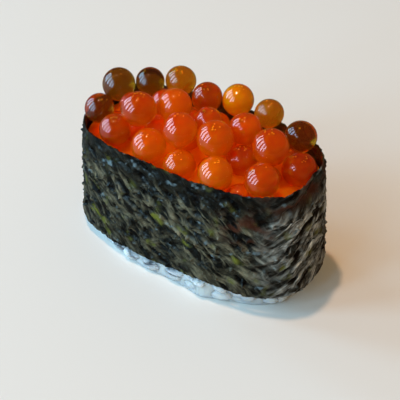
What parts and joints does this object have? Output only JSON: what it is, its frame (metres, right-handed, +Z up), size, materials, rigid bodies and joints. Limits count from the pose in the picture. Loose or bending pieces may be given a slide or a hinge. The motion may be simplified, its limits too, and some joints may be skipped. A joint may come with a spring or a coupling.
{
  "type": "gunkan sushi",
  "caption": "Gunkan sushi: a block of rice standing in an upright band of nori, with a domed heap of round translucent salmon roe above the rim.",
  "frame": {"origin": "middle of the flat foot of the rice, on the surface that the sushi rests on", "axes": "+X along the sushi towards the end where the rim is higher, +Y across it towards the back, where the sheet overlaps, +Z up"},
  "size_m": [0.0572, 0.0309, 0.0369],
  "materials": {
    "rice": "moist cooked short-grain rice",
    "nori": "pressed seaweed sheet, fibrous, slightly glossy",
    "roe": "wet translucent membrane over clear orange jelly"
  },
  "bodies": {
    "root": {"rice": "rice", "nori": "nori", "roe": "roe"}
  },
  "joints": []
}
